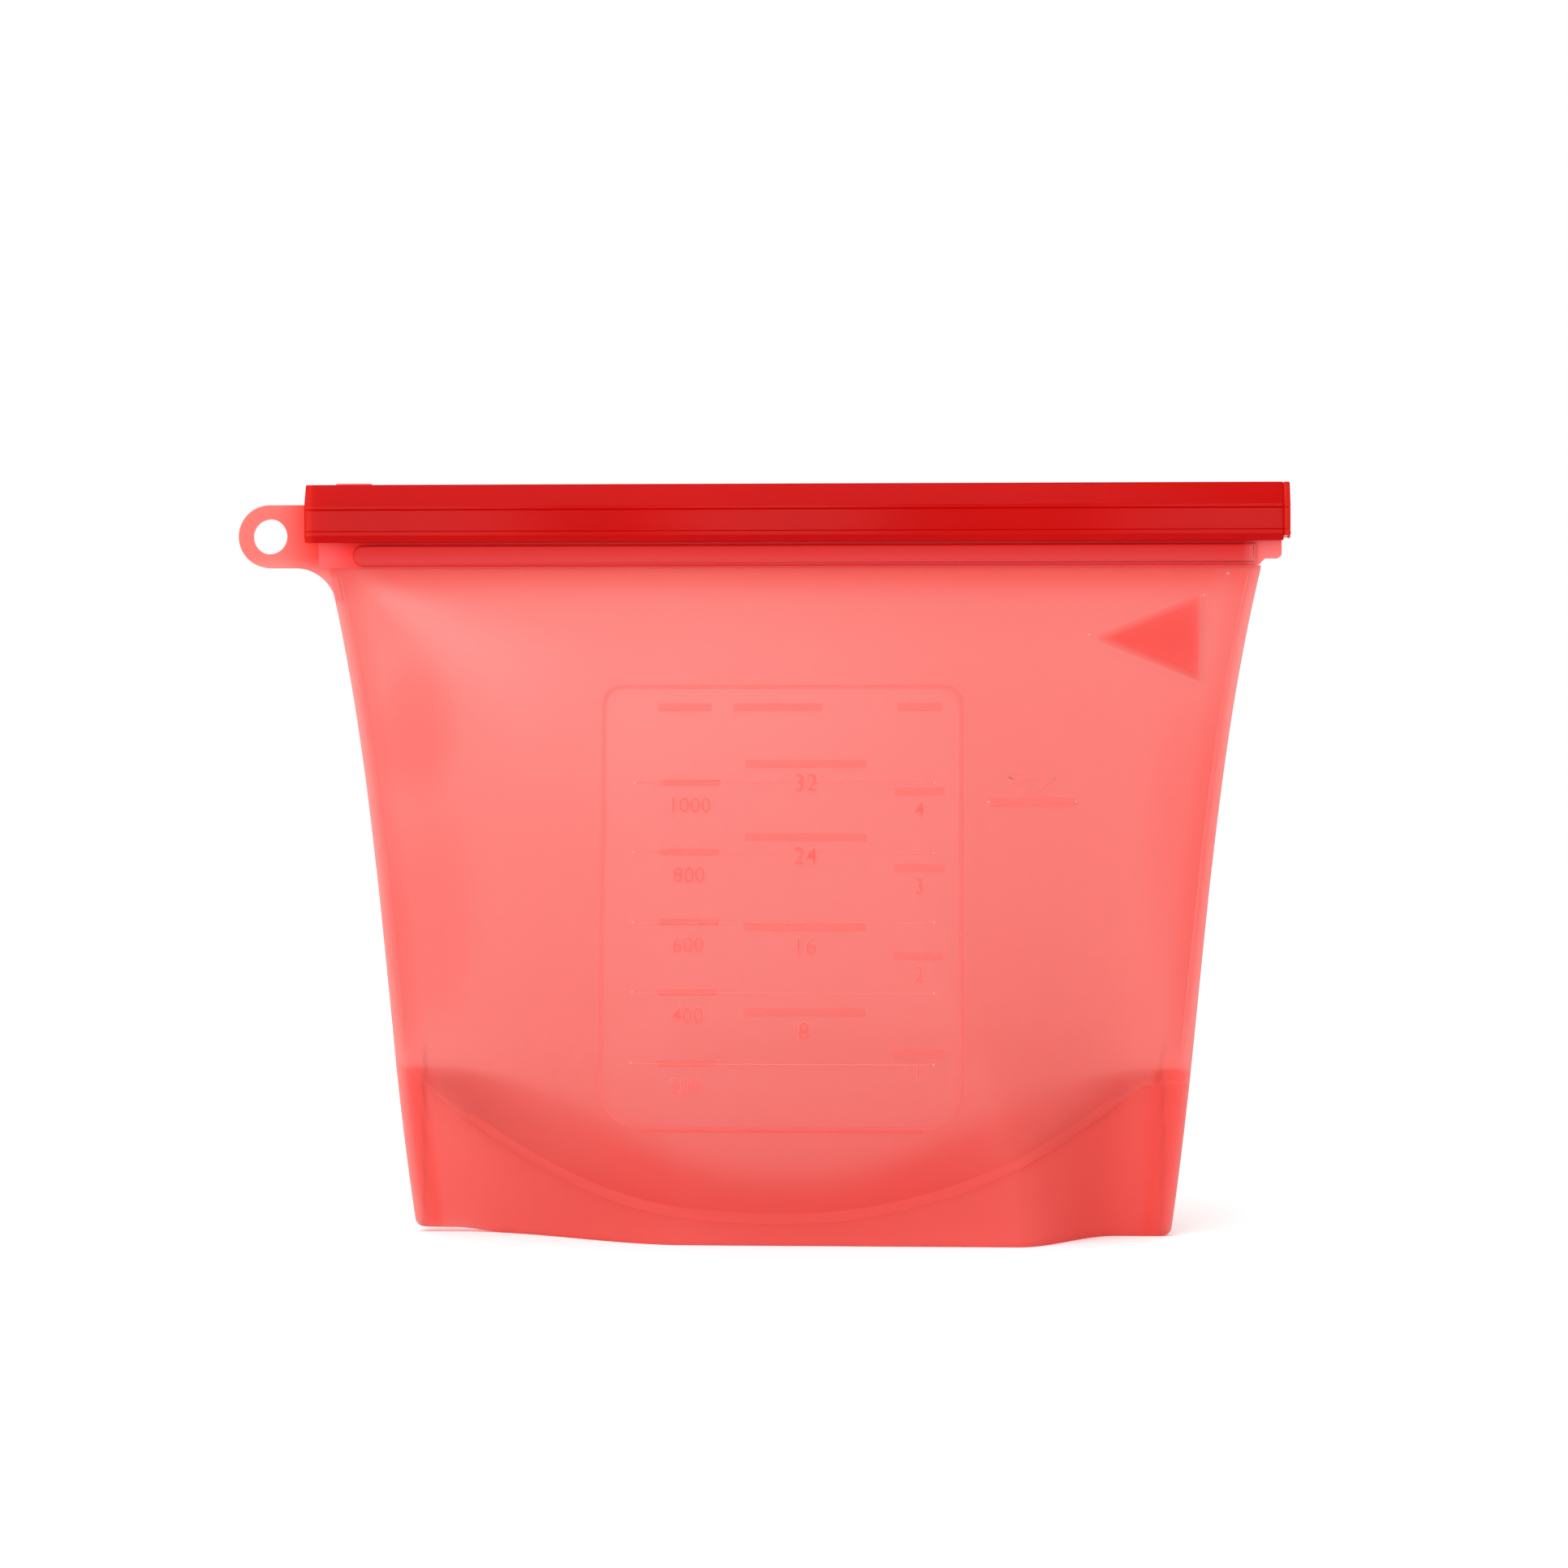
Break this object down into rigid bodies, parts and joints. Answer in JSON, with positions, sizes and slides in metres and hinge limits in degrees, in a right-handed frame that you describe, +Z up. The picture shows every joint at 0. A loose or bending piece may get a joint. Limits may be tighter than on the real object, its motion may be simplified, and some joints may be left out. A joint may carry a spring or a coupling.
{
  "type": "reusable silicone bag",
  "caption": "Stand-up silicone food bag with a folded base, a hang tab and a stiff slide bar that clamps its mouth shut and pulls off sideways.",
  "frame": {"origin": "Middle of the whole object's footprint, on the surface that the bag stands on.", "axes": "+X runs along the mouth, from the hang tab to the bar's closed end. +Y goes from the front wall to the back wall. +Z is up."},
  "size_m": [0.2432, 0.0498, 0.1741],
  "materials": {
    "silicone": "translucent satin silicone",
    "slide_bar": "translucent glossy plastic"
  },
  "bodies": {
    "bag": {"front_wall": "silicone", "back_wall": "silicone", "base_gusset": "silicone", "front_lip": "silicone", "back_lip": "silicone", "front_seal_rib": "silicone", "back_seal_rib": "silicone", "hang_tab": "silicone", "pull_tab": "silicone", "slide_arrow": "silicone"},
    "clamp": {"clamp_bar": "slide_bar", "clamp_end_cap": "slide_bar"}
  },
  "joints": [
    {"name": "clamp_slide", "type": "slide", "parent": "bag", "child": "clamp", "axis": [1, 0, 0], "range_m": [0, 0.235]}
  ]
}
